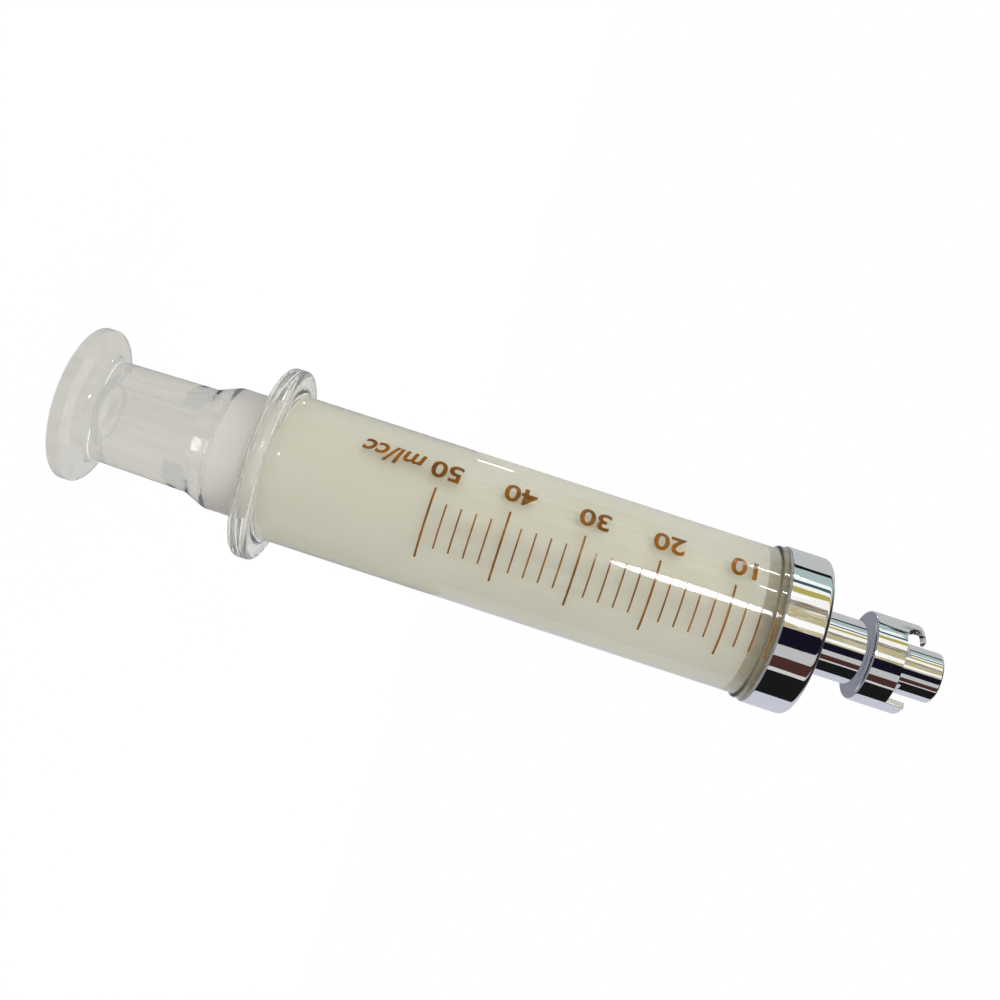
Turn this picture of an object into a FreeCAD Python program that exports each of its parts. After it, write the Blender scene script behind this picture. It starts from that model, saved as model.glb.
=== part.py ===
import FreeCAD, Part
import math
import os

# A glass syringe with a ground plunger and a metal bayonet nozzle, standing on its thumb button.
# Millimetres. Z runs along the syringe, from the button's outer face up to the nozzle's tip.
# The scale faces -Y. Angles on the barrel are counted from -Y towards +X, in degrees.

# Barrel: drawn glass tube with a moulded finger flange
BARREL_OD = 33.1
BORE_D = 28.0
FLANGE_D = 43.5
FLANGE_REAR_Z = 42.2
FLANGE_THICK = 4.2
FLANGE_EDGE_R = 1.2
FLANGE_FILLET_R = 2.2
MOUTH_R = 0.8
BEAD_D = 34.6
BEAD_LENGTH = 2.1
BEAD_RISE = 0.4
SPIGOT_D = 31.8

# Plunger: blown and ground glass, hollow and sealed
RUNNING_CLEARANCE = 0.05
BUTTON_D = 34.8
BUTTON_RIM = 2.7
BUTTON_EDGE_R = 0.55
BUTTON_CROWN = 0.9
NECK_D_AT_BUTTON = 22.8
NECK_D_AT_SHOULDER = 23.8
SHOULDER_START_Z = 27.9
SHOULDER_END_Z = 32.8
PLUNGER_FRONT_Z = 152.6
NECK_BORE_D_AT_BUTTON = 12.6
NECK_BORE_D_AT_FLARE = 13.2
NECK_FLARE_Z = 21.0
NECK_FLARE_R = 40.0
BODY_WALL = 2.0
FRONT_WALL = 2.6
BUTTON_WALL = 4.4

# Cap: turned metal cup bedded over the barrel's end
CAP_D = 35.4
CAP_REAR_Z = 157.0
CAP_FRONT_Z = 166.6
CAP_FLOOR_Z = 162.35
CAP_EDGE_R = 1.3
BEDDING = 0.25

# Nozzle tube and bayonet collar
TUBE_D = 14.4
TUBE_SEAT_D = 12.4
COLLAR_SEAT_D = 12.0
TIP_D = 11.2
NOZZLE_BORE_D = 8.0
TIP_END_Z = 196.0
COLLAR_D = 20.1
COLLAR_WALL = 1.35
COLLAR_REAR_Z = 178.75
COLLAR_FLOOR = 2.85
CUT_BACK_Z = 185.6
CLAW_END_Z = 189.7
CLAW_CORNER_R = 0.4
LIP_THICK = 0.8
CLAW_FROM = -40.6
CLAW_TO = 46.7
HOOK_ROOT = 24.0

# Scale: fired enamel strokes, ten millilitres to each long one
SCALE_ML = 50
LONG_EVERY_ML = 10
SHORT_EVERY_ML = 2
FIRST_MARK_ML = 4
MARK_HEIGHT = 0.05
LONG_MARK = (-23.1, 31.4, 0.45)
SHORT_MARK = (-13.6, 20.4, 0.35)

# Worked out from the sizes above
barrel_r = BARREL_OD / 2
bore_r = BORE_D / 2
spigot_r = SPIGOT_D / 2
socket_r = spigot_r + BEDDING
flange_front_z = FLANGE_REAR_Z + FLANGE_THICK
bead_z = CAP_REAR_Z - BEAD_LENGTH
glass_end_z = CAP_FLOOR_Z - BEDDING
body_r = bore_r - RUNNING_CLEARANCE
ml_length = 1000 / (math.pi * bore_r**2)


def point(r, z):
    return FreeCAD.Vector(r, 0, z)


def rounded_outline(corners):
    """Closed wire in the r-z plane. Each corner is (r, z) or (r, z, rounding radius)."""
    corners = [(c + (0,))[:3] for c in corners]
    edges = []
    first = last = None
    for i, (r, z, rounding) in enumerate(corners):
        here = point(r, z)
        before = (point(*corners[i - 1][:2]) - here).normalize()
        after = (point(*corners[(i + 1) % len(corners)][:2]) - here).normalize()
        if rounding:
            half = before.getAngle(after) / 2
            reach = rounding / math.tan(half)
            start, end = here + before * reach, here + after * reach
            inward = (before + after).normalize()
            middle = here + inward * (rounding / math.sin(half) - rounding)
        else:
            start = end = here
        if last:
            edges.append(Part.LineSegment(last, start).toShape())
        if rounding:
            edges.append(Part.Arc(start, middle, end).toShape())
        first = first or start
        last = end
    edges.append(Part.LineSegment(last, first).toShape())
    return Part.Wire(edges)


def turned(corners, start=0, sweep=360):
    """Solid turned about Z from an outline in the r-z plane, over part of a turn or all of it."""
    face = Part.Face(rounded_outline(corners))
    face.rotate(FreeCAD.Vector(0, 0, 0), FreeCAD.Vector(0, 0, 1), start)
    return face.revolve(FreeCAD.Vector(0, 0, 0), FreeCAD.Vector(0, 0, 1), sweep)


def barrel():
    """Glass tube: open mouth, finger flange, and a shouldered spigot for the cap."""
    return turned([
        (bore_r, FLANGE_REAR_Z, MOUTH_R),
        (FLANGE_D / 2, FLANGE_REAR_Z, FLANGE_EDGE_R),
        (FLANGE_D / 2, flange_front_z, FLANGE_EDGE_R),
        (barrel_r, flange_front_z, FLANGE_FILLET_R),
        (barrel_r, bead_z, 0.35),
        (BEAD_D / 2, bead_z + BEAD_RISE, 0.35),
        (BEAD_D / 2, CAP_REAR_Z, 0.25),
        (spigot_r, CAP_REAR_Z),
        (spigot_r, glass_end_z, 0.4),
        (bore_r, glass_end_z, 0.3),
    ])


def plunger():
    """Hollow glass piston with a narrower neck and a thumb button, closed at both ends."""
    outside = turned([
        (0, 0),
        (BUTTON_D / 2, 0, BUTTON_EDGE_R),
        (BUTTON_D / 2, BUTTON_RIM, BUTTON_EDGE_R),
        (NECK_D_AT_BUTTON / 2, BUTTON_RIM + BUTTON_CROWN, 2.6),
        (NECK_D_AT_SHOULDER / 2, SHOULDER_START_Z, 3.5),
        (body_r, SHOULDER_END_Z, 3.0),
        (body_r, PLUNGER_FRONT_Z, 0.5),
        (0, PLUNGER_FRONT_Z),
    ])
    sealed_hollow = turned([
        (0, BUTTON_WALL),
        (NECK_BORE_D_AT_BUTTON / 2, BUTTON_WALL, 4.0),
        (NECK_BORE_D_AT_FLARE / 2, NECK_FLARE_Z, NECK_FLARE_R),
        (body_r - BODY_WALL, SHOULDER_END_Z + 0.8, 3.0),
        (body_r - BODY_WALL, PLUNGER_FRONT_Z - FRONT_WALL, 3.0),
        (0, PLUNGER_FRONT_Z - FRONT_WALL),
    ])
    return outside.cut(sealed_hollow)


def tip_cap():
    """Cup over the end of the glass. Its thick floor holds the nozzle tube."""
    return turned([
        (TUBE_SEAT_D / 2, CAP_FLOOR_Z),
        (socket_r, CAP_FLOOR_Z, 0.3),
        (socket_r, CAP_REAR_Z),
        (CAP_D / 2, CAP_REAR_Z, 0.35),
        (CAP_D / 2, CAP_FRONT_Z, CAP_EDGE_R),
        (TUBE_SEAT_D / 2, CAP_FRONT_Z),
    ])


def cap_cement():
    """Bedding that fills the gap round the glass spigot and across its end."""
    return turned([
        (spigot_r, CAP_REAR_Z),
        (socket_r, CAP_REAR_Z),
        (socket_r, CAP_FLOOR_Z, 0.3),
        (bore_r + 0.3, CAP_FLOOR_Z),
        (bore_r + 0.3, glass_end_z),
        (spigot_r, glass_end_z, 0.4),
    ])


def nozzle_tube():
    """Stepped tube: a seat in the cap, the wide run, a seat for the collar, and the tip."""
    collar_front_z = COLLAR_REAR_Z + COLLAR_FLOOR
    return turned([
        (NOZZLE_BORE_D / 2, CAP_FLOOR_Z, 0.4),
        (TUBE_SEAT_D / 2, CAP_FLOOR_Z),
        (TUBE_SEAT_D / 2, CAP_FRONT_Z),
        (TUBE_D / 2, CAP_FRONT_Z),
        (TUBE_D / 2, COLLAR_REAR_Z),
        (COLLAR_SEAT_D / 2, COLLAR_REAR_Z),
        (COLLAR_SEAT_D / 2, collar_front_z),
        (TIP_D / 2, collar_front_z),
        (TIP_D / 2, TIP_END_Z, 0.5),
        (NOZZLE_BORE_D / 2, TIP_END_Z, 0.4),
    ])


def window(start, end, low_z, high_z):
    """Tool that clears the collar's skirt between two angles and two heights."""
    inner, outer = COLLAR_D / 2 - COLLAR_WALL - 0.5, COLLAR_D / 2 + 1
    return turned([(inner, low_z), (outer, low_z), (outer, high_z), (inner, high_z)], start, end - start)


def skirt_angle(length):
    """Angle in degrees that a length along the skirt's middle takes."""
    return math.degrees(length / (COLLAR_D / 2 - COLLAR_WALL / 2))


def radial_bar(angle, z, radius):
    """Round bar through the skirt at an angle and a height, to shape rounded cuts with."""
    outward = FreeCAD.Vector(math.cos(math.radians(angle)), math.sin(math.radians(angle)), 0)
    foot = outward * (COLLAR_D / 2 - COLLAR_WALL - 1) + FreeCAD.Vector(0, 0, z)
    return Part.makeCylinder(radius, COLLAR_WALL + 2, foot, outward)


def hook_notch():
    """Notch under the first claw's lip. Its root is a quarter round up to the lip."""
    lip_z = CLAW_END_Z - LIP_THICK
    height = lip_z - CUT_BACK_Z
    centre = HOOK_ROOT + skirt_angle(height)
    below_lip = window(HOOK_ROOT - 1, CLAW_TO, CUT_BACK_Z - 1, lip_z)
    quarter = radial_bar(centre, lip_z, height).common(below_lip)
    return window(centre, CLAW_TO + 2, CUT_BACK_Z, lip_z).fuse(quarter)


def claw_corner(angle, side):
    """Tool that rounds one end corner of the first claw. Side is 1 at its lip, -1 at its other end."""
    reach = skirt_angle(CLAW_CORNER_R)
    low_z = CLAW_END_Z - CLAW_CORNER_R
    start, end = sorted((angle - side * reach, angle + side))
    block = window(start, end, low_z, CLAW_END_Z + 1)
    return block.cut(radial_bar(angle - side * reach, low_z, CLAW_CORNER_R))


def bayonet_collar():
    """Cup round the tip whose skirt is cut into two hooked claws, half a turn apart."""
    inner_r = COLLAR_D / 2 - COLLAR_WALL
    floor_z = COLLAR_REAR_Z + COLLAR_FLOOR
    cup = turned([
        (COLLAR_SEAT_D / 2, COLLAR_REAR_Z),
        (COLLAR_D / 2, COLLAR_REAR_Z, 0.7),
        (COLLAR_D / 2, CLAW_END_Z, 0.3),
        (inner_r, CLAW_END_Z, 0.2),
        (inner_r, floor_z, 0.8),
        (COLLAR_SEAT_D / 2, floor_z),
    ])
    gap = window(CLAW_TO, CLAW_FROM + 180, CUT_BACK_Z, CLAW_END_Z + 1)
    corners = claw_corner(CLAW_TO, 1), claw_corner(CLAW_FROM, -1)
    for tool in (gap, hook_notch(), *corners):
        opposite = tool.copy()
        opposite.rotate(FreeCAD.Vector(0, 0, 0), FreeCAD.Vector(0, 0, 1), 180)
        cup = cup.cut(tool).cut(opposite)
    return cup.removeSplitter()


def marks(volumes, stroke):
    """One raised stroke at each volume, on the tube's surface or on the bead's."""
    start, end, width = stroke
    strokes = []
    for ml in volumes:
        z = CAP_FLOOR_Z - ml * ml_length
        inner = BEAD_D / 2 if z > bead_z else barrel_r
        outer = inner + MARK_HEIGHT
        low, high = z - width / 2, z + width / 2
        section = [(inner, low), (outer, low), (outer, high), (inner, high)]
        strokes.append(turned(section, start - 90, end - start))
    return Part.makeCompound(strokes)


def long_marks():
    return marks(range(LONG_EVERY_ML, SCALE_ML + 1, LONG_EVERY_ML), LONG_MARK)


def short_marks():
    steps = range(FIRST_MARK_ML, SCALE_ML, SHORT_EVERY_ML)
    return marks([ml for ml in steps if ml % LONG_EVERY_ML], SHORT_MARK)


os.makedirs("parts", exist_ok=True)
glass = barrel, plunger
metal = tip_cap, cap_cement, nozzle_tube, bayonet_collar
for piece in (*glass, *metal, long_marks, short_marks):
    piece().exportStep(f"parts/{piece.__name__}.step")
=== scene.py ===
import math

import bmesh
import bpy
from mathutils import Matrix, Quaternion, Vector


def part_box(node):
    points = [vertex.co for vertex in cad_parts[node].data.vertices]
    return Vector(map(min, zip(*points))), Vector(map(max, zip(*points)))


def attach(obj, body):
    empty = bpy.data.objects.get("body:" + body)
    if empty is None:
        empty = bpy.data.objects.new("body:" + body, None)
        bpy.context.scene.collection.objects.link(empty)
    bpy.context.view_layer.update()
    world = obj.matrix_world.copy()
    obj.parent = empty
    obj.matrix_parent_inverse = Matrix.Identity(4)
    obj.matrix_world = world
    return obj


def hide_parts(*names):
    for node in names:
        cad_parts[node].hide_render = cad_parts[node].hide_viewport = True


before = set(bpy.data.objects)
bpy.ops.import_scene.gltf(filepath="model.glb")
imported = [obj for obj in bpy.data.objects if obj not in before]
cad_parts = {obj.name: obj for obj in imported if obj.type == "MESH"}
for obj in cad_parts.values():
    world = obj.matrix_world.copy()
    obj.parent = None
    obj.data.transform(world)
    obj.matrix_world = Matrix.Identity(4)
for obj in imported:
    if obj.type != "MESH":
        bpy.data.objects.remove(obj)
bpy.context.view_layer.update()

scene = bpy.context.scene
scene.view_settings.view_transform = "Standard"


# The studio: a white sweep, with a round lamp above the nozzle and three slits of light.
# The plating mirrors upright stripes of windows, walls and furniture round the table,
# and the clear glass shows a pale trace of the same room.
def linear(red, green, blue):
    """Linear colour from three screen values of 0 to 255."""
    def part(value):
        value /= 255
        return value / 12.92 if value <= 0.04045 else ((value + 0.055) / 1.055) ** 2.4
    return (part(red), part(green), part(blue), 1)


# Each wall stripe runs up to a bearing, in degrees from -Y towards +X, and has a screen colour.
WALL_STRIPES = (
    (-110.5, (190, 192, 192)),
    (-102.7, (14, 16, 18)),
    (-85.8, (170, 190, 188)),
    (-80.7, (250, 252, 250)),
    (-74.9, (58, 92, 98)),
    (-69.1, (250, 250, 244)),
    (-61.8, (178, 168, 92)),
    (-48.8, (250, 250, 242)),
    (-40.2, (134, 122, 98)),
    (-24.5, (180, 170, 128)),
    (-15.4, (255, 255, 250)),
    (-7.5, (180, 170, 128)),
    (15.6, (20, 18, 34)),
    (33.3, (190, 192, 190)),
    (50.7, (74, 46, 42)),
    (56.6, (206, 208, 204)),
    (103.7, (24, 25, 24)),
    (180, (200, 202, 214)),
)
CEILING = (46, 47, 50)
# The ceiling takes over between these heights on a globe of radius 1.
CEILING_FROM, CEILING_TO = 0.7, 0.85
# Between these bearings the room is full of small bright things.
GLITTER_FROM, GLITTER_TO = -48, -7.5
GLITTER = (1, 1, 0.97, 1)
# The stripes' edges wander by this many radians, as furniture does.
WANDER = 0.09
# What the clear glass shows: this share of the room, over a brighter sky.
ROOM_IN_GLASS = 0.45
SKY_IN_GLASS = 1.78
SKY_STRENGTH = 1.0

world = bpy.data.worlds.new("studio")
world.use_nodes = True
scene.world = world


class Nodes:
    """Short calls for a node tree: add a node with its values, and join two sockets."""

    def __init__(self, tree):
        self.tree = tree

    def add(self, kind, values=(), **settings):
        node = self.tree.nodes.new(kind)
        for key, value in settings.items():
            setattr(node, key, value)
        for key, value in dict(values).items():
            node.inputs[key].default_value = value
        return node

    def join(self, source, target):
        self.tree.links.new(source, target)

    def math(self, operation, *terms):
        """Math node whose terms are numbers or sockets. Returns its output."""
        node = self.add("ShaderNodeMath", operation=operation)
        for i, term in enumerate(terms):
            if isinstance(term, (int, float)):
                node.inputs[i].default_value = term
            else:
                self.join(term, node.inputs[i])
        return node.outputs[0]


def set_ramp(ramp, stops):
    """Writes (place, colour) pairs to a colour ramp."""
    while len(ramp.elements) > 1:
        ramp.elements.remove(ramp.elements[-1])
    ramp.elements[0].position, ramp.elements[0].color = stops[0]
    for place, colour in stops[1:]:
        ramp.elements.new(place).color = colour


def along_wall(bearing):
    """Place on the wall's ramp of a bearing in degrees."""
    return (bearing + 180) / 360


nodes = Nodes(world.node_tree)
world.node_tree.nodes.clear()
direction = nodes.add("ShaderNodeTexCoord")
split = nodes.add("ShaderNodeSeparateXYZ")
nodes.join(direction.outputs["Generated"], split.inputs[0])
to_front = nodes.math("MULTIPLY", split.outputs["Y"], -1.0)
bearing = nodes.math("ARCTAN2", split.outputs["X"], to_front)
waves = nodes.add("ShaderNodeTexNoise", values={"Scale": 9.0, "Detail": 2.0})
nodes.join(direction.outputs["Generated"], waves.inputs["Vector"])
wander = nodes.math("MULTIPLY_ADD", waves.outputs["Fac"], WANDER, -WANDER / 2)
wavy_bearing = nodes.math("ADD", bearing, wander)
turn = nodes.add("ShaderNodeMapRange", values={"From Min": -math.pi, "From Max": math.pi})
nodes.join(wavy_bearing, turn.inputs["Value"])
stripes = nodes.add("ShaderNodeValToRGB")
stripes.color_ramp.interpolation = "CONSTANT"
starts = [-180] + [end for end, colour in WALL_STRIPES[:-1]]
set_ramp(stripes.color_ramp, [
    (along_wall(start), linear(*colour)) for start, (end, colour) in zip(starts, WALL_STRIPES)])
nodes.join(turn.outputs[0], stripes.inputs["Fac"])
glitter_zone = nodes.add("ShaderNodeValToRGB")
glitter_zone.color_ramp.interpolation = "CONSTANT"
set_ramp(glitter_zone.color_ramp, [
    (0, (0, 0, 0, 1)), (along_wall(GLITTER_FROM), (1, 1, 1, 1)), (along_wall(GLITTER_TO), (0, 0, 0, 1))])
nodes.join(turn.outputs[0], glitter_zone.inputs["Fac"])
small_things = nodes.add("ShaderNodeTexNoise", values={"Scale": 60.0, "Detail": 3.0, "Roughness": 0.7})
nodes.join(direction.outputs["Generated"], small_things.inputs["Vector"])
bright_things = nodes.add("ShaderNodeValToRGB")
set_ramp(bright_things.color_ramp, [(0.56, (0, 0, 0, 1)), (0.62, (1, 1, 1, 1))])
nodes.join(small_things.outputs["Fac"], bright_things.inputs["Fac"])
glitter = nodes.math("MULTIPLY", glitter_zone.outputs["Color"], bright_things.outputs["Color"])
room = nodes.add("ShaderNodeMix", data_type="RGBA")
nodes.join(glitter, room.inputs["Factor"])
nodes.join(stripes.outputs["Color"], room.inputs[6])
room.inputs[7].default_value = GLITTER
overhead = nodes.add("ShaderNodeMapRange", values={"From Min": CEILING_FROM, "From Max": CEILING_TO})
nodes.join(split.outputs["Z"], overhead.inputs["Value"])
roofed = nodes.add("ShaderNodeMix", data_type="RGBA")
nodes.join(overhead.outputs[0], roofed.inputs["Factor"])
nodes.join(room.outputs[2], roofed.inputs[6])
roofed.inputs[7].default_value = linear(*CEILING)
walls = nodes.add("ShaderNodeBackground", values={"Strength": 1.0})
nodes.join(roofed.outputs[2], walls.inputs["Color"])
sky = nodes.add("ShaderNodeBackground", values={"Color": (1, 1, 1, 1), "Strength": SKY_STRENGTH})
white = nodes.add("ShaderNodeBackground", values={"Color": (1, 1, 1, 1), "Strength": 1.0})
pale_sky = nodes.add("ShaderNodeBackground", values={"Color": (1, 1, 1, 1), "Strength": SKY_IN_GLASS})
in_glass = nodes.add("ShaderNodeMixShader", values={0: ROOM_IN_GLASS})
nodes.join(pale_sky.outputs[0], in_glass.inputs[1])
nodes.join(walls.outputs[0], in_glass.inputs[2])
light_path = nodes.add("ShaderNodeLightPath")
layers = sky.outputs[0]
for ray, seen in (("Is Glossy Ray", walls), ("Is Transmission Ray", in_glass), ("Is Camera Ray", white)):
    choice = nodes.add("ShaderNodeMixShader")
    nodes.join(light_path.outputs[ray], choice.inputs[0])
    nodes.join(layers, choice.inputs[1])
    nodes.join(seen.outputs[0], choice.inputs[2])
    layers = choice.outputs[0]
world_out = nodes.add("ShaderNodeOutputWorld")
nodes.join(layers, world_out.inputs["Surface"])

# The floor is a white table that keeps a trace of the syringe's shadow.
FLOOR_HALF = 1.5
SHADOW_SHARE = 0.12
GLOW = 1.105
PAPER = (0.24, 0.25, 0.3, 1)
# The button's glass rests on the table within this radius and mirrors it from inside. There the table glows
# pale grey in reflections, a painted pool of light where the button shades it.
RESTING_R = 0.0174
PAINTED_LIGHT_UNDER_BUTTON = (0.54, 0.54, 0.515, 1)
SEEN_THROUGH_GLASS = (0.65, 0.635, 0.58, 1)
floor_mesh = bpy.data.meshes.new("floor")
floor_mesh.from_pydata(
    [(x * FLOOR_HALF, y * FLOOR_HALF, 0) for x, y in ((-1, -1), (1, -1), (1, 1), (-1, 1))],
    [], [(0, 1, 2, 3)])
floor = bpy.data.objects.new("floor", floor_mesh)
scene.collection.objects.link(floor)
table_top = bpy.data.materials.new("table_top")
table_top.use_nodes = True
table_top.node_tree.nodes.clear()
nodes = Nodes(table_top.node_tree)
light_path = nodes.add("ShaderNodeLightPath")
paper = nodes.add("ShaderNodeBsdfDiffuse", values={"Color": PAPER})
glow = nodes.add("ShaderNodeEmission", values={"Color": (1, 1, 1, 1), "Strength": GLOW})
share = nodes.math("MULTIPLY", light_path.outputs["Is Camera Ray"], 1 - SHADOW_SHARE)
spot = nodes.add("ShaderNodeNewGeometry")
away = nodes.add("ShaderNodeVectorMath", operation="LENGTH")
nodes.join(spot.outputs["Position"], away.inputs[0])
beside = nodes.math("GREATER_THAN", away.outputs["Value"], RESTING_R)
# Painted pool of light: reflected rays see the table glow pale grey under the button, and the paper's
# colour elsewhere.
painted_pool_or_paper = nodes.add("ShaderNodeMix", data_type="RGBA")
nodes.join(beside, painted_pool_or_paper.inputs["Factor"])
painted_pool_or_paper.inputs[6].default_value = PAINTED_LIGHT_UNDER_BUTTON
painted_pool_or_paper.inputs[7].default_value = PAPER
seen_in_glass = nodes.add("ShaderNodeMix", data_type="RGBA")
nodes.join(light_path.outputs["Is Transmission Ray"], seen_in_glass.inputs["Factor"])
nodes.join(painted_pool_or_paper.outputs[2], seen_in_glass.inputs[6])
seen_in_glass.inputs[7].default_value = SEEN_THROUGH_GLASS
image = nodes.add("ShaderNodeEmission", values={"Strength": 1.0})
nodes.join(seen_in_glass.outputs[2], image.inputs["Color"])
behind = nodes.add("ShaderNodeMixShader")
bent_ray = nodes.math(
    "MAXIMUM", light_path.outputs["Is Transmission Ray"], light_path.outputs["Is Glossy Ray"])
nodes.join(bent_ray, behind.inputs[0])
nodes.join(paper.outputs[0], behind.inputs[1])
nodes.join(image.outputs[0], behind.inputs[2])
mix = nodes.add("ShaderNodeMixShader")
nodes.join(share, mix.inputs[0])
nodes.join(behind.outputs[0], mix.inputs[1])
nodes.join(glow.outputs[0], mix.inputs[2])
out = nodes.add("ShaderNodeOutputMaterial")
nodes.join(mix.outputs[0], out.inputs["Surface"])
floor_mesh.materials.append(table_top)


LAMP_AIM = Vector((0, 0, 0.11))


def lamp(name, bearing, height, width, length, brightness, shape):
    """Area lamp a metre away, at a bearing from -Y towards +X, turned to face the syringe."""
    data = bpy.data.lights.new(name, "AREA")
    data.shape = shape
    data.size = width
    data.size_y = length
    area = math.pi * width * length / 4 if shape == "ELLIPSE" else width * length
    data.energy = brightness * math.pi * area
    lit = bpy.data.objects.new(name, data)
    angle = math.radians(bearing)
    lit.location = (math.sin(angle), -math.cos(angle), height)
    lit.rotation_mode = "QUATERNION"
    lit.rotation_quaternion = (LAMP_AIM - lit.location).to_track_quat("-Z", "Y")
    scene.collection.objects.link(lit)


lamp("round_lamp", -20, 0.297, 0.155, 0.19, 28.0, "ELLIPSE")
lamp("upper_slit", -85, 0.372, 0.03, 0.05, 45.0, "RECTANGLE")
lamp("lower_slit", -55, 0.38, 0.026, 0.03, 45.0, "RECTANGLE")
lamp("back_slit", -125, 0.056, 0.03, 0.04, 45.0, "RECTANGLE")

# The camera stands a quarter of a metre away, rolled so that the syringe lies aslant.
CAMERA_PLACE = Vector((-0.0118, -0.2512, 0.0999))
CAMERA_AIM = Vector((-0.0079, 0, 0.0942))
CAMERA_ROLL = 107.98
CAMERA_LENS = 41.14
camera = bpy.data.objects.new("camera", bpy.data.cameras.new("camera"))
camera.data.lens = CAMERA_LENS
camera.data.clip_start = 0.01
camera.location = CAMERA_PLACE
camera.rotation_mode = "QUATERNION"
upright = (CAMERA_AIM - CAMERA_PLACE).to_track_quat("-Z", "Y")
camera.rotation_quaternion = upright @ Quaternion((0, 0, 1), math.radians(CAMERA_ROLL))
scene.collection.objects.link(camera)
scene.camera = camera


# The barrel: a drawn tube of clear glass with a moulded finger flange. Its outside is
# fire polished and its bore is ground matt, which makes the whole tube look milky. The
# end under the cap is drawn in to a spigot behind a small bead.
MM = 0.001
AROUND = 256
# A round takes steps of at most this angle and this length.
ARC_STEP = math.radians(7)
CHORD = 0.6 * MM
# Rings this close to each edge keep the smooth shading of long runs flat.
SUPPORT = 0.12 * MM
GLASS_IOR = 1.474
barrel_low, barrel_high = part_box("barrel")
cap_low, cap_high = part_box("tip_cap")
BORE_R = 14.0 * MM
BARREL_R = 16.55 * MM
FLANGE_THICK = 4.2 * MM
FLANGE_EDGE_R = 1.2 * MM
FLANGE_FILLET_R = 2.2 * MM
MOUTH_R = 0.8 * MM
MOUTH_DEPTH = 1.6 * MM
BEAD_R = 17.3 * MM
BEAD_LENGTH = 2.1 * MM
BEAD_RISE = 0.4 * MM
BEAD_EDGE_R = 0.35 * MM
BEAD_FRONT_EDGE_R = 0.25 * MM
SPIGOT_R = 15.9 * MM
SPIGOT_EDGE_R = 0.4 * MM
BORE_EDGE_R = 0.3 * MM
STROKE_END_Z = 152.9 * MM


def arc_points(before, corner, after, rounding):
    """Points of the round that replaces a corner, as (r, z) pairs."""
    corner = Vector(corner)
    back = (Vector(before) - corner).normalized()
    ahead = (Vector(after) - corner).normalized()
    half = back.angle(ahead) / 2
    centre = corner + (back + ahead).normalized() * (rounding / math.sin(half))
    start = corner + back * (rounding / math.tan(half)) - centre
    swept = back.angle_signed(ahead)
    turn = -math.copysign(math.pi - 2 * half, swept)
    steps = max(3, math.ceil(abs(turn) / ARC_STEP), math.ceil(abs(turn) * rounding / CHORD))
    points = []
    for i in range(steps + 1):
        angle = turn * i / steps
        c, s = math.cos(angle), math.sin(angle)
        points.append(centre + Vector((start.x * c + start.y * s, -start.x * s + start.y * c)))
    return points


def profile(corners, closed):
    """Outline points with a finish each, from corners (r, z, rounding, finish of the run after it)."""
    points = []
    count = len(corners)
    for i, (r, z, rounding, finish) in enumerate(corners):
        if rounding:
            before = corners[i - 1][:2]
            after = corners[(i + 1) % count][:2]
            turned_corner = arc_points(before, (r, z), after, rounding)
            points += [(p, finish) for p in turned_corner]
        else:
            points.append((Vector((r, z)), finish))
    supported = []
    for i, (here, finish) in enumerate(points):
        supported.append((here, finish))
        if i + 1 == len(points) and not closed:
            break
        there = points[(i + 1) % len(points)][0]
        run = there - here
        if run.length > 6 * SUPPORT:
            step = run.normalized() * SUPPORT
            supported += [(here + step, finish), (there - step, finish)]
    return supported


def turned_shell(mesh, corners, closed=True):
    """Adds a shell turned about Z to a bmesh. Travelling the outline, the material is on the left."""
    points = profile(corners, closed)
    turns = [2 * math.pi * k / AROUND for k in range(AROUND)]
    spokes = [(math.cos(turn), math.sin(turn)) for turn in turns]
    rings = []
    for (r, z), finish in points:
        if r < 1e-7:
            rings.append([mesh.verts.new((0, 0, z))])
            continue
        rings.append([mesh.verts.new((r * x, r * y, z)) for x, y in spokes])
    pairs = len(rings) if closed else len(rings) - 1
    for i in range(pairs):
        low, high, finish = rings[i], rings[(i + 1) % len(rings)], points[i][1]
        for k in range(AROUND):
            k2 = (k + 1) % AROUND
            corner_list = [low[k % len(low)], low[k2 % len(low)], high[k2 % len(high)], high[k % len(high)]]
            face = mesh.faces.new(list(dict.fromkeys(corner_list)))
            face.material_index = finish
            face.smooth = True


def piece(name, mesh, materials, body):
    """Turns a mesh or a bmesh into a finished piece that rides on a body."""
    if isinstance(mesh, bmesh.types.BMesh):
        data = bpy.data.meshes.new(name)
        mesh.to_mesh(data)
        mesh.free()
    else:
        data = mesh
        data.name = name
        data.materials.clear()
    for material in materials:
        data.materials.append(material)
    made = bpy.data.objects.new(name, data)
    scene.collection.objects.link(made)
    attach(made, body)
    return made


def principled(name, **values):
    """A material with one Principled shader. Returns it, its nodes and the shader."""
    material = bpy.data.materials.new(name)
    material.use_nodes = True
    nodes = Nodes(material.node_tree)
    shader = material.node_tree.nodes["Principled BSDF"]
    for key, value in values.items():
        shader.inputs[key.replace("_", " ")].default_value = value
    return material, nodes, shader


def add_bump(nodes, shader, height, strength, distance):
    """Fine relief on a shader, from a height socket."""
    bump = nodes.add("ShaderNodeBump", values={"Strength": strength, "Distance": distance})
    nodes.join(height, bump.inputs["Height"])
    nodes.join(bump.outputs["Normal"], shader.inputs["Normal"])


def stretched_noise(nodes, scale, detail=2.0):
    """Noise on Object coordinates, stretched by a scale for each axis."""
    place = nodes.add("ShaderNodeTexCoord")
    mapping = nodes.add("ShaderNodeMapping", values={"Scale": scale})
    nodes.join(place.outputs["Object"], mapping.inputs["Vector"])
    noise = nodes.add("ShaderNodeTexNoise", values={"Scale": 1.0, "Detail": detail})
    nodes.join(mapping.outputs["Vector"], noise.inputs["Vector"])
    return noise.outputs["Fac"]


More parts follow.
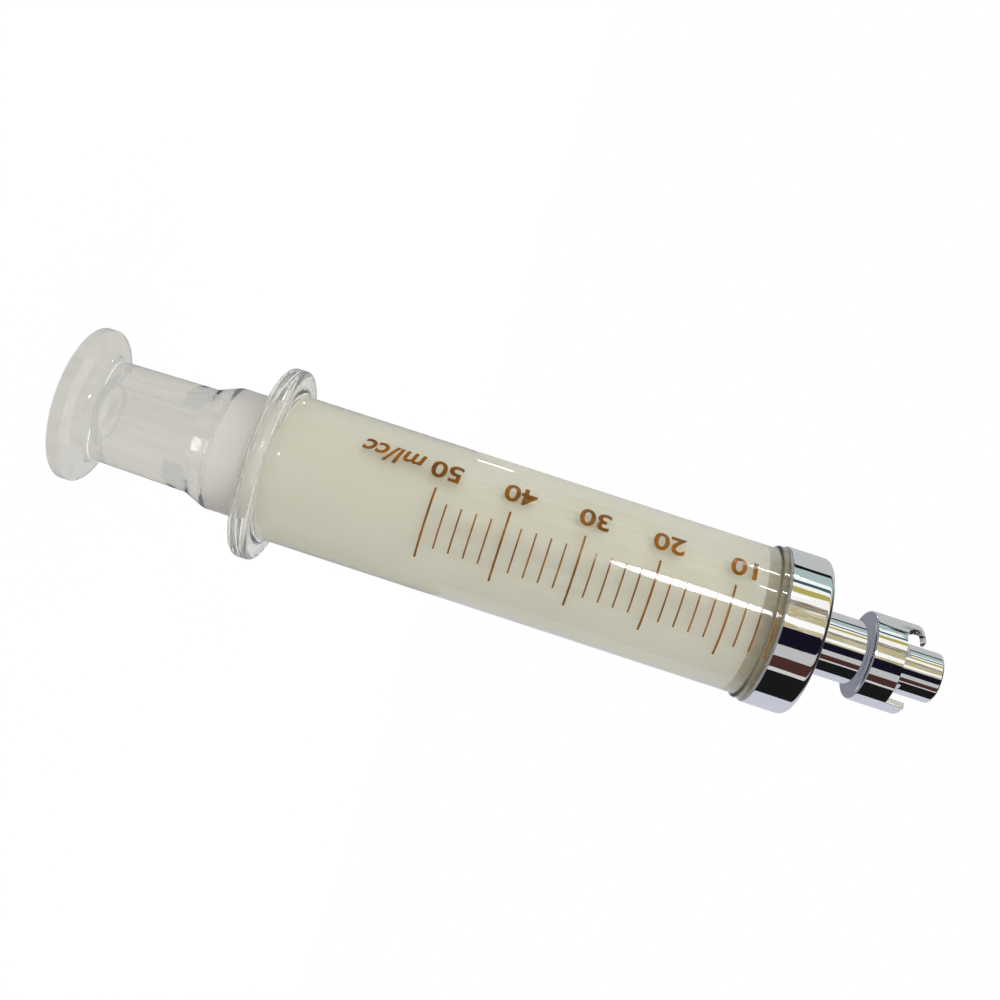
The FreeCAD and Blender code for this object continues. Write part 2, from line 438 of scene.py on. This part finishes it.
def clear_glass(name, pale, dark, wave, ripple, through=1.0, roughness=0.01):
    """Borosilicate glass with the faint long cords and ripples of drawn and blown work."""
    material, nodes, shader = principled(
        name, Roughness=roughness, IOR=GLASS_IOR, Transmission_Weight=through)
    cords = nodes.add("ShaderNodeValToRGB")
    set_ramp(cords.color_ramp, [(0.35, (*dark, 1)), (0.65, (*pale, 1))])
    nodes.join(stretched_noise(nodes, (240, 240, 18), 3.0), cords.inputs["Fac"])
    nodes.join(cords.outputs["Color"], shader.inputs["Base Color"])
    add_bump(nodes, shader, stretched_noise(nodes, wave), ripple, 0.0002)
    return material


def moulded_glass():
    """The flange's thicker glass: faintly green and a little cloudy, with soft moulding waves."""
    material, nodes, shader = principled(
        "moulded_glass", Base_Color=(0.99, 0.985, 0.94, 1), Roughness=0.015, IOR=GLASS_IOR,
        Transmission_Weight=0.84)
    add_bump(nodes, shader, stretched_noise(nodes, (160, 160, 120)), 0.1, 0.0003)
    return material


def ground_glass(name, pale, dark, through):
    """Matt ground glass: fine grain, with paler and darker cloudy patches."""
    material, nodes, shader = principled(name, Roughness=0.55, IOR=GLASS_IOR, Transmission_Weight=through)
    clouds = nodes.add("ShaderNodeValToRGB")
    set_ramp(clouds.color_ramp, [(0.3, linear(*dark)), (0.7, linear(*pale))])
    nodes.join(stretched_noise(nodes, (120, 120, 40)), clouds.inputs["Fac"])
    nodes.join(clouds.outputs["Color"], shader.inputs["Base Color"])
    add_bump(nodes, shader, stretched_noise(nodes, (9000, 9000, 9000), 3.0), 0.3, 0.00005)
    return material


TUBE_GLASS, GROUND_BORE, FLANGE_GLASS, BORE_END = 0, 1, 2, 3
barrel_finishes = (
    clear_glass("drawn_glass", (0.99, 0.995, 0.98), (0.97, 0.975, 0.955), (260, 260, 30), 0.1),
    ground_glass("ground_bore", (254, 252, 238), (250, 248, 230), 0.08),
    moulded_glass(),
    ground_glass("bore_end", (238, 230, 206), (222, 212, 184), 0.4),
)
mesh = bmesh.new()
flange_front = barrel_low.z + FLANGE_THICK
bead_z = cap_low.z - BEAD_LENGTH
turned_shell(mesh, [
    (BORE_R, barrel_low.z, MOUTH_R, FLANGE_GLASS),
    (barrel_high.x, barrel_low.z, FLANGE_EDGE_R, FLANGE_GLASS),
    (barrel_high.x, flange_front, FLANGE_EDGE_R, FLANGE_GLASS),
    (BARREL_R, flange_front, FLANGE_FILLET_R, TUBE_GLASS),
    (BARREL_R, bead_z, BEAD_EDGE_R, TUBE_GLASS),
    (BEAD_R, bead_z + BEAD_RISE, BEAD_EDGE_R, TUBE_GLASS),
    (BEAD_R, cap_low.z, BEAD_FRONT_EDGE_R, TUBE_GLASS),
    (SPIGOT_R, cap_low.z, 0, TUBE_GLASS),
    (SPIGOT_R, barrel_high.z, SPIGOT_EDGE_R, TUBE_GLASS),
    (BORE_R, barrel_high.z, BORE_EDGE_R, BORE_END),
    (BORE_R, STROKE_END_Z, 0, GROUND_BORE),
    (BORE_R, barrel_low.z + MOUTH_DEPTH, 0, FLANGE_GLASS),
])
barrel = piece("barrel_glass", mesh, barrel_finishes, "barrel")
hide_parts("barrel")


# The plunger: blown glass, hollow and sealed, in one piece. The body is ground to run in
# the bore, the neck and the thumb button are left clear, and the shoulder's end is hazed.
plunger_low, plunger_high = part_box("plunger")
BODY_R = 13.95 * MM
BUTTON_RIM = 2.7 * MM
BUTTON_CROWN = 0.9 * MM
BUTTON_EDGE_R = 0.55 * MM
NECK_R_AT_BUTTON = 11.4 * MM
NECK_R_AT_SHOULDER = 11.9 * MM
NECK_FILLET_R = 2.6 * MM
SHOULDER_START = 27.9 * MM
SHOULDER_START_R = 3.5 * MM
SHOULDER_END = 32.8 * MM
SHOULDER_END_R = 3.0 * MM
GROUND_FROM = 33.7 * MM
FRONT_EDGE_R = 0.5 * MM
NECK_BORE_R_AT_BUTTON = 6.3 * MM
NECK_BORE_R_AT_FLARE = 6.6 * MM
NECK_FLARE_Z = 21.0 * MM
NECK_FLARE_R = 40.0 * MM
BODY_WALL = 2.0 * MM
BUTTON_WALL = 4.4 * MM
FRONT_WALL = 2.6 * MM
HOLLOW_SHOULDER_Z = SHOULDER_END + 0.8 * MM
HOLLOW_BODY_ROUND_R = 3.0 * MM
HOLLOW_BUTTON_ROUND_R = 4.0 * MM
# Blowing leaves one flatter place in the hollow, from where it widens. Its depth is a share
# of the hollow's radius, its width is in radians, and a low swell stands at each side of it.
FLAT_DEPTH = 0.028
FLAT_SWELLS = 6
FLAT_WIDTH = 0.5
FLAT_TURN = math.radians(79)
ROUND_TO, FLAT_FROM = 12 * MM, 22 * MM
BLOWN, GROUND_BODY, BUTTON, HOLLOW, SHOULDER = 0, 1, 2, 3, 4
plunger_finishes = (
    clear_glass("blown_glass", (1.0, 1.0, 0.99), (0.9, 0.9, 0.89), (260, 260, 60), 0.2),
    ground_glass("ground_body", (253, 250, 242), (246, 242, 233), 0.5),
    clear_glass("button_glass", (0.99, 0.99, 0.98), (0.86, 0.86, 0.85), (200, 200, 200), 0.4),
    clear_glass("hollow_glass", (1.0, 1.0, 0.99), (0.94, 0.94, 0.93), (260, 260, 120), 0.25),
    clear_glass("hazed_shoulder", (0.92, 0.92, 0.9), (0.82, 0.82, 0.8), (260, 260, 60), 0.2, 0.72, 0.14),
)
mesh = bmesh.new()
turned_shell(mesh, [
    (0, plunger_high.z - FRONT_WALL, 0, HOLLOW),
    (BODY_R - BODY_WALL, plunger_high.z - FRONT_WALL, HOLLOW_BODY_ROUND_R, HOLLOW),
    (BODY_R - BODY_WALL, HOLLOW_SHOULDER_Z, HOLLOW_BODY_ROUND_R, HOLLOW),
    (NECK_BORE_R_AT_FLARE, NECK_FLARE_Z, NECK_FLARE_R, HOLLOW),
    (NECK_BORE_R_AT_BUTTON, BUTTON_WALL, HOLLOW_BUTTON_ROUND_R, HOLLOW),
    (0, BUTTON_WALL, 0, HOLLOW),
], closed=False)
for v in mesh.verts:
    share = min(1, max(0, (v.co.z - ROUND_TO) / (FLAT_FROM - ROUND_TO)))
    off = (math.atan2(v.co.y, v.co.x) - FLAT_TURN + math.pi) % (2 * math.pi) - math.pi
    depth = FLAT_DEPTH * share * share * (3 - 2 * share) * math.exp(-(off / FLAT_WIDTH) ** 2)
    rim = 1 - depth * math.cos(FLAT_SWELLS * off)
    v.co = (v.co.x * rim, v.co.y * rim, v.co.z)
turned_shell(mesh, [
    (0, 0, 0, BUTTON),
    (plunger_high.x, 0, BUTTON_EDGE_R, BUTTON),
    (plunger_high.x, BUTTON_RIM, BUTTON_EDGE_R, BUTTON),
    (NECK_R_AT_BUTTON, BUTTON_RIM + BUTTON_CROWN, NECK_FILLET_R, BLOWN),
    (NECK_R_AT_SHOULDER, SHOULDER_START, SHOULDER_START_R, BLOWN),
    (BODY_R, SHOULDER_END, SHOULDER_END_R, SHOULDER),
    (BODY_R, GROUND_FROM, 0, GROUND_BODY),
    (BODY_R, plunger_high.z, FRONT_EDGE_R, GROUND_BODY),
    (0, plunger_high.z, 0, GROUND_BODY),
], closed=False)
plunger = piece("plunger_glass", mesh, plunger_finishes, "plunger")
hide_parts("plunger")


# The cap: turned from brass, plated and polished, and bedded over the end of the glass.
# Its floor is thick, because the nozzle tube is held in it.
def plated():
    """Polished plating with slow waves from the polishing wheel."""
    material, nodes, shader = principled(
        "plated_brass", Base_Color=(0.93, 0.93, 0.94, 1), Metallic=1.0, Roughness=0.035)
    add_bump(nodes, shader, stretched_noise(nodes, (300, 300, 180), 1.0), 0.06, 0.0003)
    return material


plating = plated()
SEAT_R = 6.2 * MM
SOCKET_R = 16.15 * MM
CAP_FLOOR_Z = 162.35 * MM
SOCKET_CORNER_R = 0.3 * MM
CAP_REAR_EDGE_R = 0.35 * MM
CAP_FRONT_EDGE_R = 1.3 * MM
mesh = bmesh.new()
turned_shell(mesh, [
    (SEAT_R, CAP_FLOOR_Z, 0, 0),
    (SOCKET_R, CAP_FLOOR_Z, SOCKET_CORNER_R, 0),
    (SOCKET_R, cap_low.z, 0, 0),
    (cap_high.x, cap_low.z, CAP_REAR_EDGE_R, 0),
    (cap_high.x, cap_high.z, CAP_FRONT_EDGE_R, 0),
    (SEAT_R, cap_high.z, 0, 0),
])
cap = piece("cap", mesh, [plating], "barrel")
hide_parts("tip_cap")


# The cement: a grey-white bedding, set hard between the glass spigot and the cap's
# socket. It is run in before the cap goes on and is hidden afterwards.
cement, nodes, shader = principled("cement", Roughness=0.85)
grain = nodes.add("ShaderNodeValToRGB")
set_ramp(grain.color_ramp, [(0.35, linear(196, 192, 182)), (0.65, linear(220, 217, 208))])
nodes.join(stretched_noise(nodes, (900, 900, 900), 4.0), grain.inputs["Fac"])
nodes.join(grain.outputs["Color"], shader.inputs["Base Color"])
add_bump(nodes, shader, stretched_noise(nodes, (2500, 2500, 2500)), 0.4, 0.0001)
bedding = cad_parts["cap_cement"].data
bedding.materials.clear()
bedding.materials.append(cement)


# The nozzle tube: brass, turned in steps and plated. Its foot is soldered into the cap's
# floor, a shallow seat carries the collar, and the plain tip stands out beyond it.
tube_low, tube_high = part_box("nozzle_tube")
collar_low, collar_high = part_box("bayonet_collar")
NOZZLE_BORE_R = 4.0 * MM
COLLAR_SEAT_R = 6.0 * MM
COLLAR_FLOOR = 2.85 * MM
TIP_R = 5.6 * MM
TIP_EDGE_R = 0.5 * MM
NOZZLE_BORE_EDGE_R = 0.4 * MM
mesh = bmesh.new()
turned_shell(mesh, [
    (NOZZLE_BORE_R, tube_low.z, NOZZLE_BORE_EDGE_R, 0),
    (SEAT_R, tube_low.z, 0, 0),
    (SEAT_R, cap_high.z, 0, 0),
    (tube_high.x, cap_high.z, 0, 0),
    (tube_high.x, collar_low.z, 0, 0),
    (COLLAR_SEAT_R, collar_low.z, 0, 0),
    (COLLAR_SEAT_R, collar_low.z + COLLAR_FLOOR, 0, 0),
    (TIP_R, collar_low.z + COLLAR_FLOOR, 0, 0),
    (TIP_R, tube_high.z, TIP_EDGE_R, 0),
    (NOZZLE_BORE_R, tube_high.z, NOZZLE_BORE_EDGE_R, 0),
])
nozzle = piece("nozzle", mesh, [plating], "barrel")
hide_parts("nozzle_tube")


# The bayonet collar: a plated cup pressed and soldered on the tube. Its skirt is cut away
# in two wide gaps, which leave two claws, and under one end of each claw a notch leaves
# a lip that an instrument's lugs turn under.
COLLAR_R = 10.05 * MM
COLLAR_WALL = 1.35 * MM
COLLAR_REAR_EDGE_R = 0.7 * MM
COLLAR_INNER_CORNER_R = 0.8 * MM
CUT_BACK_Z = 185.6 * MM
CLAW_INNER_EDGE_R = 0.2 * MM
CLAW_OUTER_EDGE_R = 0.3 * MM
CLAW_CORNER_R = 0.4 * MM
LIP_THICK = 0.8 * MM
# Bearings of a claw's two sides and of its notch's root, in degrees from +X towards +Y.
CLAW_FROM, CLAW_TO = -40.6, 46.7
NOTCH_ROOT = 24.0
BROKEN_EDGE = 0.07 * MM
# The cutting tools stand this far clear of the faces that they meet.
TOOL_CLEAR = 0.01 * MM
GAP_SIDE_LEAN = 0.02
GAP_STEPS = 24
NOTCH_OVERRUN = 2
skirt_mid_r = COLLAR_R - COLLAR_WALL / 2


def skirt_angle(length):
    """Angle in degrees that a length along the skirt's middle takes."""
    return math.degrees(length / skirt_mid_r)


def evaluated_mesh(made):
    """Plain mesh of an object with its modifiers applied. The object is removed."""
    bpy.context.view_layer.update()
    data = bpy.data.meshes.new_from_object(made.evaluated_get(bpy.context.evaluated_depsgraph_get()))
    bpy.data.objects.remove(made)
    return data


def skirt_cutter(columns, half_turn):
    """Closed tool through the skirt, from columns (angle, low z, high z)."""
    tool = bmesh.new()
    inner, outer = COLLAR_R - COLLAR_WALL - 0.5 * MM, COLLAR_R + MM
    rings = []
    for angle, low, high in columns:
        turn = math.radians(angle + half_turn)
        c, s = math.cos(turn), math.sin(turn)
        rings.append([tool.verts.new((r * c, r * s, z)) for r, z in (
            (inner, low), (outer, low), (outer, high), (inner, high))])
    for here, there in zip(rings, rings[1:]):
        for k in range(4):
            k2 = (k + 1) % 4
            tool.faces.new([here[k], here[k2], there[k2], there[k]])
    tool.faces.new(rings[0][::-1])
    tool.faces.new(rings[-1])
    bmesh.ops.recalc_face_normals(tool, faces=tool.faces)
    data = bpy.data.meshes.new("cutter")
    tool.to_mesh(data)
    tool.free()
    made = bpy.data.objects.new("cutter", data)
    scene.collection.objects.link(made)
    return made


CORNER_STEPS = 12
claw_end = collar_high.z
lip_z = claw_end - LIP_THICK
corner_reach = skirt_angle(CLAW_CORNER_R)
notch_height = lip_z - CUT_BACK_Z
quarter = [math.sin(math.pi / 2 * k / CORNER_STEPS) for k in range(CORNER_STEPS + 1)]
above = claw_end + MM
corner_heights = []
for share in quarter:
    drop = CLAW_CORNER_R * (1 - math.sqrt(max(0, 1 - share * share)))
    corner_heights.append((share, claw_end + TOOL_CLEAR * (1 - share) - drop))
gap_end = CLAW_FROM + 180
gap_columns = [
    (CLAW_TO - corner_reach * (1 - share), edge_z, above) for share, edge_z in corner_heights]
gap_sweep = gap_end - CLAW_TO - 2 * GAP_SIDE_LEAN
for k in range(GAP_STEPS + 1):
    gap_columns.append((CLAW_TO + GAP_SIDE_LEAN + gap_sweep * k / GAP_STEPS, CUT_BACK_Z, above))
for share, edge_z in reversed(corner_heights):
    gap_columns.append((gap_end + corner_reach * (1 - share), edge_z, above))
notch_columns = []
for share in reversed(quarter):
    depth = notch_height * math.sqrt(max(0, 1 - share * share))
    place = NOTCH_ROOT + skirt_angle(notch_height) * (1 - share)
    notch_columns.append((place, lip_z - depth - TOOL_CLEAR, lip_z))
notch_columns.append((CLAW_TO + NOTCH_OVERRUN, CUT_BACK_Z - TOOL_CLEAR, lip_z))
mesh = bmesh.new()
turned_shell(mesh, [
    (COLLAR_SEAT_R, collar_low.z, 0, 0),
    (COLLAR_SEAT_R, collar_low.z + COLLAR_FLOOR, 0, 0),
    (COLLAR_R - COLLAR_WALL, collar_low.z + COLLAR_FLOOR, COLLAR_INNER_CORNER_R, 0),
    (COLLAR_R - COLLAR_WALL, claw_end, CLAW_INNER_EDGE_R, 0),
    (COLLAR_R, claw_end, CLAW_OUTER_EDGE_R, 0),
    (COLLAR_R, collar_low.z, COLLAR_REAR_EDGE_R, 0),
])
bmesh.ops.reverse_faces(mesh, faces=mesh.faces)
blank_mesh = bpy.data.meshes.new("blank")
mesh.to_mesh(blank_mesh)
mesh.free()
blank = bpy.data.objects.new("blank", blank_mesh)
scene.collection.objects.link(blank)
cutters = [
    skirt_cutter(columns, half_turn)
    for columns in (gap_columns, notch_columns) for half_turn in (0, 180)]
for cutter in cutters:
    cut = blank.modifiers.new("cut", "BOOLEAN")
    cut.operation = "DIFFERENCE"
    cut.solver = "EXACT"
    cut.object = cutter
broken_edge = blank.modifiers.new("broken_edge", "BEVEL")
broken_edge.width = BROKEN_EDGE
broken_edge.segments = 2
broken_edge.limit_method = "ANGLE"
broken_edge.angle_limit = math.radians(45)
collar_mesh = evaluated_mesh(blank)
for cutter in cutters:
    bpy.data.objects.remove(cutter)
collar_mesh.shade_smooth()
collar_mesh.set_sharp_from_angle(angle=math.radians(38))
collar = piece("collar", collar_mesh, [plating], "barrel")
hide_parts("bayonet_collar")


# The scale: amber enamel, printed round the glass and fired on. A long stroke stands at
# each ten millilitres and a short one at every second between them.
ENAMEL_RISE = 0.05 * MM
ENAMEL_ROOT = 0.02 * MM
ML_LENGTH = 1000 * MM / (math.pi * (BORE_R / MM) ** 2)
LONG_STROKE = {"From": -23.1, "To": 31.4, "Width": 0.45 * MM}
SHORT_STROKE = {"From": -13.6, "To": 20.4, "Width": 0.35 * MM}
enamel, nodes, shader = principled("amber_enamel", Roughness=0.12)
shade = nodes.add("ShaderNodeValToRGB")
set_ramp(shade.color_ramp, [(0.35, linear(118, 70, 0)), (0.65, linear(164, 100, 0))])
nodes.join(stretched_noise(nodes, (260, 260, 160), 3.0), shade.inputs["Fac"])
nodes.join(shade.outputs["Color"], shader.inputs["Base Color"])
add_bump(nodes, shader, stretched_noise(nodes, (900, 900, 900)), 0.1, 0.00005)

strokes = bpy.data.node_groups.new("printed_strokes", "GeometryNodeTree")
strokes.interface.new_socket(name="Geometry", in_out="OUTPUT", socket_type="NodeSocketGeometry")
socket_ids = {}
for name, kind in (
        ("First", "Float"), ("Step", "Float"), ("Count", "Int"), ("Leave Out Every", "Float"),
        ("Pitch", "Float"), ("Zero Height", "Float"), ("Bead Height", "Float"), ("Bead Growth", "Float"),
        ("Radius", "Float"), ("Middle", "Float"), ("Sweep", "Float"), ("Width", "Float"),
        ("Thickness", "Float"), ("Enamel", "Material")):
    socket = strokes.interface.new_socket(name=name, in_out="INPUT", socket_type="NodeSocket" + kind)
    socket_ids[name] = socket.identifier
nodes = Nodes(strokes)
given = nodes.add("NodeGroupInput").outputs
# One stroke: a thin bar, bent round the glass.
size = nodes.add("ShaderNodeCombineXYZ")
nodes.join(given["Sweep"], size.inputs["X"])
nodes.join(given["Thickness"], size.inputs["Y"])
nodes.join(given["Width"], size.inputs["Z"])
bar = nodes.add("GeometryNodeMeshCube", values={"Vertices X": 33})
nodes.join(size.outputs[0], bar.inputs["Size"])
flat = nodes.add("ShaderNodeSeparateXYZ")
nodes.join(nodes.add("GeometryNodeInputPosition").outputs[0], flat.inputs[0])
bent_angle = nodes.math("ADD", flat.outputs["X"], given["Middle"])
bent_r = nodes.math("SUBTRACT", given["Radius"], flat.outputs["Y"])
bent = nodes.add("ShaderNodeCombineXYZ")
nodes.join(nodes.math("MULTIPLY", bent_r, nodes.math("SINE", bent_angle)), bent.inputs["X"])
minus_cos = nodes.math("MULTIPLY", nodes.math("COSINE", bent_angle), -1.0)
nodes.join(nodes.math("MULTIPLY", bent_r, minus_cos), bent.inputs["Y"])
nodes.join(flat.outputs["Z"], bent.inputs["Z"])
bend = nodes.add("GeometryNodeSetPosition")
nodes.join(bar.outputs["Mesh"], bend.inputs["Geometry"])
nodes.join(bent.outputs[0], bend.inputs["Position"])
# One point for each stroke, at the height of its volume.
place_in_row = nodes.add("GeometryNodeInputIndex").outputs[0]
volume = nodes.math("MULTIPLY_ADD", place_in_row, given["Step"], given["First"])
drop = nodes.math("MULTIPLY", volume, given["Pitch"])
height = nodes.math("SUBTRACT", given["Zero Height"], drop)
place = nodes.add("ShaderNodeCombineXYZ")
nodes.join(height, place.inputs["Z"])
spots = nodes.add("GeometryNodePoints")
nodes.join(given["Count"], spots.inputs["Count"])
nodes.join(place.outputs[0], spots.inputs["Position"])
# Strokes that another row prints are left out, and those on the bead grow with it.
left_over = nodes.math("MODULO", volume, given["Leave Out Every"])
kept = nodes.math("GREATER_THAN", left_over, 0.5)
on_bead = nodes.math("GREATER_THAN", height, given["Bead Height"])
growth = nodes.math("MULTIPLY_ADD", on_bead, given["Bead Growth"], 1.0)
widen = nodes.add("ShaderNodeCombineXYZ", values={"Z": 1.0})
nodes.join(growth, widen.inputs["X"])
nodes.join(growth, widen.inputs["Y"])
repeat = nodes.add("GeometryNodeInstanceOnPoints")
nodes.join(spots.outputs[0], repeat.inputs["Points"])
nodes.join(kept, repeat.inputs["Selection"])
nodes.join(bend.outputs[0], repeat.inputs["Instance"])
nodes.join(widen.outputs[0], repeat.inputs["Scale"])
real = nodes.add("GeometryNodeRealizeInstances")
nodes.join(repeat.outputs[0], real.inputs[0])
coat = nodes.add("GeometryNodeSetMaterial")
nodes.join(real.outputs[0], coat.inputs["Geometry"])
nodes.join(given["Enamel"], coat.inputs["Material"])
nodes.join(coat.outputs[0], nodes.add("NodeGroupOutput").inputs[0])


def printed_strokes(name, node, first, step, count, leave_out_every, stroke):
    """A row of strokes made with the printed_strokes tree, as a piece that replaces a CAD node."""
    host = bpy.data.objects.new(name, bpy.data.meshes.new(name))
    scene.collection.objects.link(host)
    row = host.modifiers.new("row", "NODES")
    row.node_group = strokes
    start, end = math.radians(stroke["From"]), math.radians(stroke["To"])
    values = {
        "First": first, "Step": step, "Count": count, "Leave Out Every": leave_out_every,
        "Pitch": ML_LENGTH, "Zero Height": CAP_FLOOR_Z, "Bead Height": bead_z,
        "Bead Growth": BEAD_R / BARREL_R - 1, "Radius": BARREL_R + (ENAMEL_RISE - ENAMEL_ROOT) / 2,
        "Middle": (start + end) / 2, "Sweep": end - start, "Width": stroke["Width"],
        "Thickness": ENAMEL_RISE + ENAMEL_ROOT, "Enamel": enamel,
    }
    for key, value in values.items():
        row[socket_ids[key]] = value
    made = piece(name, evaluated_mesh(host), [enamel], "barrel")
    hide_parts(node)


printed_strokes("long_strokes", "long_marks", 10.0, 10.0, 5, 1000.0, LONG_STROKE)
printed_strokes("short_strokes", "short_marks", 4.0, 2.0, 23, 10.0, SHORT_STROKE)


# The numbers and the unit: the same enamel, printed through a stencil with the strokes.
# They stand beside the long strokes with their tops towards them.
NUMBER_FOOT = -46.3
NUMBER_HEIGHT = 4.4 * MM
NUMBER_WIDEN = 1.18
# A number's middle stands this much nearer the nozzle than its stroke.
NUMBER_SHIFT = 1.05 * MM
NUMBER_BOLD = 0.02
BEND_STEP = 0.5 * MM
UNIT_TOP, UNIT_END = 77.3 * MM, 63.6 * MM
UNIT_SLANT = 0.25


def printed_word(mesh, text, start_z, length, height, bold, slant):
    """Adds a word bent on the barrel, which reads down the scale from start_z.

    With a length of 0 the word keeps its own width and has its middle at start_z.
    """
    letters = bpy.data.curves.new("word", "FONT")
    letters.body = text
    letters.offset = bold
    letters.shear = slant
    letters.extrude = 0.1
    letters.resolution_u = 6
    made = bpy.data.objects.new("word", letters)
    scene.collection.objects.link(made)
    flat_word = evaluated_mesh(made)
    word = bmesh.new()
    word.from_mesh(flat_word)
    bmesh.ops.remove_doubles(word, verts=word.verts, dist=1e-5)
    spread = [[f(v.co[k] for v in word.verts) for f in (min, max)] for k in range(2)]
    scale_y = height / (spread[1][1] - spread[1][0])
    scale_x = length / (spread[0][1] - spread[0][0]) if length else scale_y * NUMBER_WIDEN
    for v in word.verts:
        outward = ENAMEL_RISE if v.co.z > 0 else -ENAMEL_ROOT
        v.co = ((v.co.x - spread[0][0]) * scale_x, (v.co.y - spread[1][0]) * scale_y, outward)
    for k in range(1, int(height / BEND_STEP)):
        everything = word.verts[:] + word.edges[:] + word.faces[:]
        bmesh.ops.bisect_plane(word, geom=everything, plane_co=(0, k * BEND_STEP, 0), plane_no=(0, 1, 0))
    middle = max(v.co.x for v in word.verts) / 2
    for v in word.verts:
        along, up, outward = v.co
        angle = math.radians(NUMBER_FOOT) + up / BARREL_R
        r = BARREL_R + outward
        top_z = start_z if length else start_z + middle
        v.co = (r * math.sin(angle), -r * math.cos(angle), top_z - along)
    bent_word = bpy.data.meshes.new("word")
    word.to_mesh(bent_word)
    word.free()
    mesh.from_mesh(bent_word)


numbers = bmesh.new()
for ml in range(10, 51, 10):
    centre_z = CAP_FLOOR_Z - ml * ML_LENGTH + NUMBER_SHIFT
    printed_word(numbers, str(ml), centre_z, 0, NUMBER_HEIGHT, NUMBER_BOLD, 0)
piece("scale_numbers", numbers, [enamel], "barrel")
unit = bmesh.new()
printed_word(unit, "ml/cc", UNIT_TOP, UNIT_TOP - UNIT_END, NUMBER_HEIGHT, NUMBER_BOLD, UNIT_SLANT)
piece("scale_unit", unit, [enamel], "barrel")
